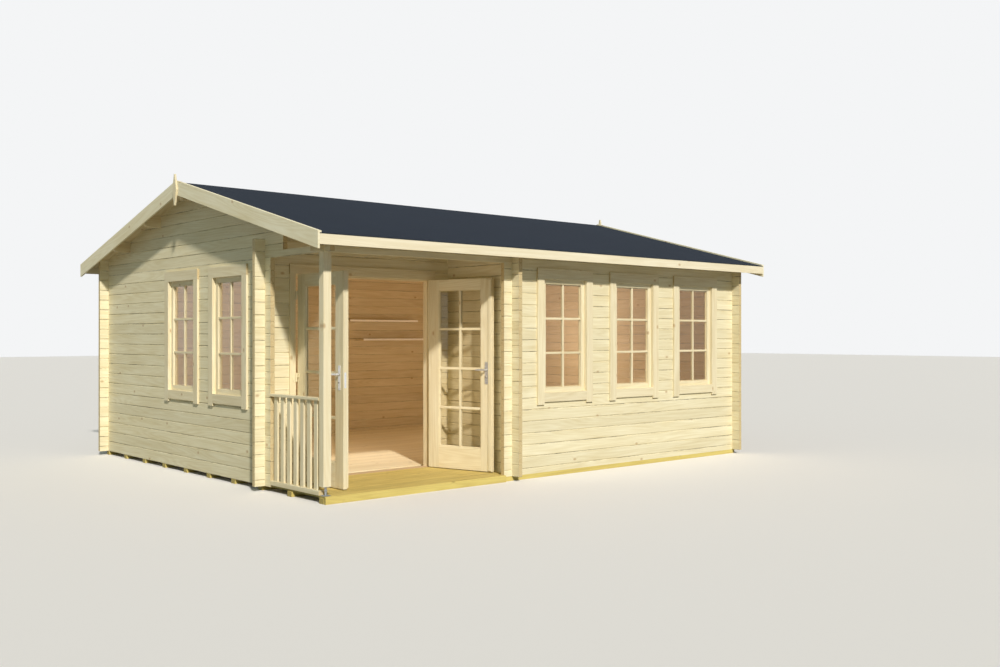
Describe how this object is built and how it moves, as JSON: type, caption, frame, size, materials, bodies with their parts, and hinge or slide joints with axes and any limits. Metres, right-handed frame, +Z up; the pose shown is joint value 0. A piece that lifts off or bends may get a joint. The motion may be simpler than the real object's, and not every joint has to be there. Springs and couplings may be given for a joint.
{
  "type": "log cabin",
  "caption": "Garden log cabin with an open corner porch, double glazed doors, gabled felt roof, railing and barred windows.",
  "frame": {"origin": "on the ground, below the middle of the roof", "axes": "+X along the ridge away from the porch end, +Y from the front wall to the back wall, +Z up"},
  "size_m": [6.145, 5.321, 2.995],
  "materials": {
    "log_timber": "light brown stain on planed logs",
    "joinery_timber": "cream stain on planed timber",
    "roof_timber": "planed softwood",
    "floor_timber": "planed softwood",
    "treated_timber": "green pressure-treated softwood",
    "roof_felt": "smooth dark grey roofing sheet",
    "glass": "clear glass",
    "steel": "satin steel"
  },
  "bodies": {
    "cabin": {"front_wall": "log_timber", "front_beam": "log_timber", "back_wall": "log_timber", "left_gable_wall": "log_timber", "left_gable_top": "log_timber", "right_gable_wall": "log_timber", "right_gable_top": "log_timber", "porch_wall": "log_timber", "door_wall_left": "log_timber", "door_wall_right": "log_timber", "door_wall_head": "log_timber", "door_jambs": "joinery_timber", "door_head": "joinery_timber", "front_window_frames": "joinery_timber", "gable_window_frames": "joinery_timber", "window_sashes": "joinery_timber", "corner_post": "joinery_timber", "wall_shelves": "joinery_timber", "foundation_bearers": "treated_timber", "room_floor": "floor_timber", "porch_deck": "treated_timber", "deck_edge_board": "treated_timber", "post_foot": "steel", "porch_railing": "joinery_timber", "door_threshold": "joinery_timber", "roof_purlins": "roof_timber", "roof_boards_front": "roof_timber", "roof_boards_back": "roof_timber", "roof_felt_front": "roof_felt", "roof_felt_back": "roof_felt", "fascia_boards": "joinery_timber", "left_barge_boards": "joinery_timber", "right_barge_boards": "joinery_timber", "roof_strips": "joinery_timber", "gable_finials": "joinery_timber", "window_panes": "glass", "hinge_pins": "steel"},
    "left_door": {"left_door_leaf": "joinery_timber", "left_door_pane": "glass", "left_door_fittings": "steel", "left_door_lever": "steel"},
    "right_door": {"right_door_leaf": "joinery_timber", "right_door_pane": "glass", "right_door_fittings": "steel", "right_door_lever": "steel"}
  },
  "joints": [
    {"name": "left_door_hinge", "type": "hinge", "parent": "cabin", "child": "left_door", "pos_m": [-2.5325, -1.4275, 1.015], "axis": [0, 0, 1], "range_deg": [-15, 90]},
    {"name": "right_door_hinge", "type": "hinge", "parent": "cabin", "child": "right_door", "pos_m": [-0.9725, -1.4275, 1.015], "axis": [0, 0, 1], "range_deg": [-105, 0]}
  ]
}
